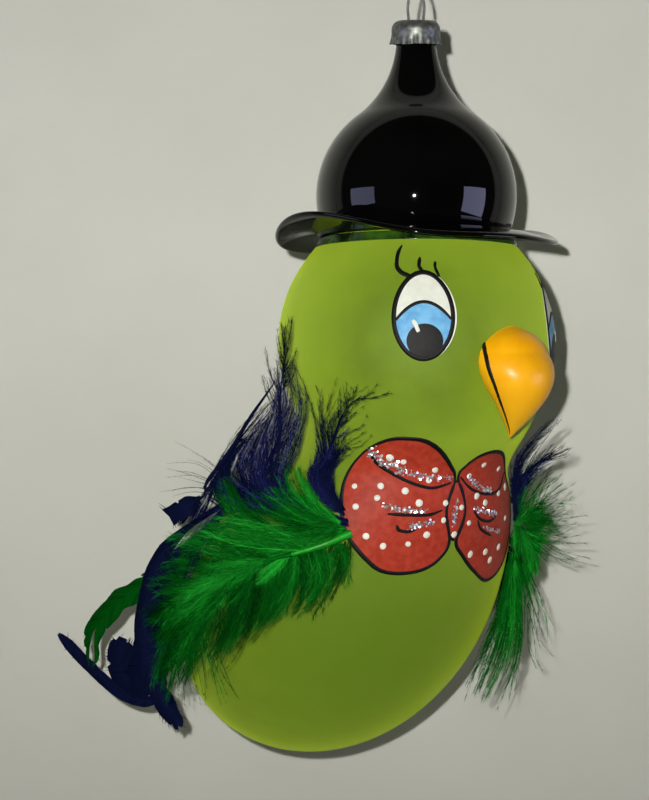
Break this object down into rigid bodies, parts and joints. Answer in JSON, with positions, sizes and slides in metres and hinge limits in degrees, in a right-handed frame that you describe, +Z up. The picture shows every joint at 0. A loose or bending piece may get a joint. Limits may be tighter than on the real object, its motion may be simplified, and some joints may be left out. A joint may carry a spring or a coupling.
{
  "type": "hanging bird ornament",
  "caption": "Hollow blown-glass bird in a bowler hat with feather wings and tail, hung by a crimped cap and spring wire loop.",
  "frame": {"origin": "inside of the top of the hanging loop, where a hook carries it", "axes": "+Z up along the neck, the bird faces -Y, its right side is -X"},
  "size_m": [0.1086, 0.14, 0.1983],
  "materials": {
    "green_glass": "frosted satin",
    "black_glass": "gloss",
    "yellow_enamel": "gloss enamel",
    "glue": "gloss",
    "aluminium": "crimped sheet",
    "steel": "drawn wire",
    "green_feather": "dyed feather",
    "navy_feather": "dyed feather"
  },
  "bodies": {
    "bird": {"bird_body": "green_glass", "hat_crown": "black_glass", "hat_brim": "black_glass", "hat_glue_bead": "glue", "beak": "yellow_enamel", "right_wing_glue": "glue", "right_wing_green_quill": "green_feather", "right_wing_green_plume": "green_feather", "right_wing_navy_quill": "navy_feather", "right_wing_navy_plume": "navy_feather", "right_shoulder_navy_quill": "navy_feather", "right_shoulder_navy_plume": "navy_feather", "right_tail_glue": "glue", "right_tail_pointed": "navy_feather", "right_tail_blunt": "navy_feather", "right_tail_long": "navy_feather", "right_tail_green": "green_feather", "right_neck_biot": "navy_feather", "left_wing_glue": "glue", "left_wing_green_quill": "green_feather", "left_wing_green_plume": "green_feather", "left_wing_navy_quill": "navy_feather", "left_wing_navy_plume": "navy_feather", "left_shoulder_navy_quill": "navy_feather", "left_shoulder_navy_plume": "navy_feather", "left_tail_glue": "glue", "left_tail_pointed": "navy_feather", "left_tail_blunt": "navy_feather", "left_tail_long": "navy_feather", "left_tail_green": "green_feather", "left_neck_biot": "navy_feather"},
    "cap": {"cap": "aluminium"},
    "hanger": {"hanger_wire": "steel"}
  },
  "joints": [
    {"name": "cap_pull", "type": "slide", "parent": "bird", "child": "cap", "axis": [0, 0, 1], "range_m": [0, 0.022]},
    {"name": "loop_rock", "type": "hinge", "parent": "cap", "child": "hanger", "pos_m": [0, 0, -0.00827], "axis": [0.7912, -0.6115, 0], "range_deg": [-10, 10]}
  ]
}
